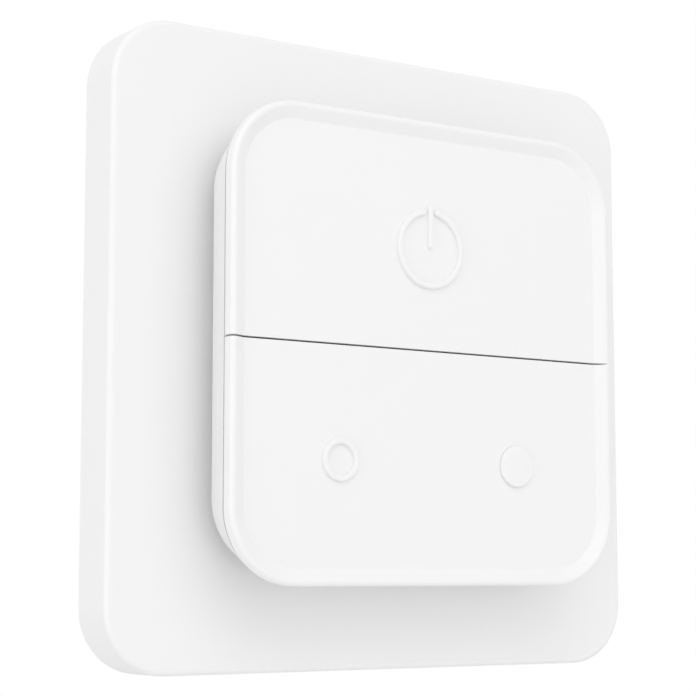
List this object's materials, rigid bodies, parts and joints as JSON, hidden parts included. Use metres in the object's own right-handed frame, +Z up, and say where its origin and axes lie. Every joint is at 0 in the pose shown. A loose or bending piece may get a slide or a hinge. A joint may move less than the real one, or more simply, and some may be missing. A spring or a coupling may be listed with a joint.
{
  "type": "wireless remote wall switch",
  "caption": "Square wall plate holding a flared battery remote with a dished front split into an upper power key and a lower rocker key",
  "frame": {"origin": "middle of the wall side of the plate, on the wall's surface", "axes": "X right as seen from the front, Y into the wall, Z up"},
  "size_m": [0.086, 0.0192, 0.086],
  "materials": {
    "plate": "satin",
    "housing": "satin",
    "key": "satin",
    "mount": "fine grain",
    "tape": "foam tape",
    "keeper": "zinc plated",
    "door": "satin",
    "cell": "bright nickel",
    "contact": "nickel plated",
    "board": "solder mask",
    "chip": "moulded",
    "shield": "tin plated",
    "crystal": "lid",
    "dome": "spring steel",
    "magnet": "nickel plated",
    "frame": "fine grain",
    "screw": "black zinc"
  },
  "bodies": {
    "plate_and_remote": {"wall_plate": "plate", "mounting_plate": "mount", "adhesive_pad_upper": "tape", "adhesive_pad_lower": "tape", "keeper_plate": "keeper", "rear_housing": "housing", "battery_door": "door", "coin_cell": "cell", "negative_contact": "contact", "positive_contact": "contact", "circuit_board": "board", "radio_chip": "chip", "radio_shield": "shield", "crystal": "crystal", "dome_upper": "dome", "dome_lower_left": "dome", "dome_lower_right": "dome", "magnet_upper_left": "magnet", "magnet_upper_right": "magnet", "magnet_lower_left": "magnet", "magnet_lower_right": "magnet", "key_frame": "frame", "housing_screws": "screw"},
    "upper_key": {"upper_key": "key"},
    "lower_key": {"lower_key": "key"}
  },
  "joints": [
    {"name": "upper_key_press", "type": "hinge", "parent": "plate_and_remote", "child": "upper_key", "pos_m": [0, -0.01535, 0.026], "axis": [1, 0, 0], "range_deg": [0, 0.65], "stiffness_Nm_per_rad": 1.5, "springref_deg": -0.23, "deforming": ["dome_upper"]},
    {"name": "lower_key_rock", "type": "hinge", "parent": "plate_and_remote", "child": "lower_key", "pos_m": [0, -0.01535, -0.015], "axis": [0, 0, 1], "range_deg": [-0.54, 0.54], "stiffness_Nm_per_rad": 1.5, "deforming": ["dome_lower_left", "dome_lower_right"]}
  ]
}
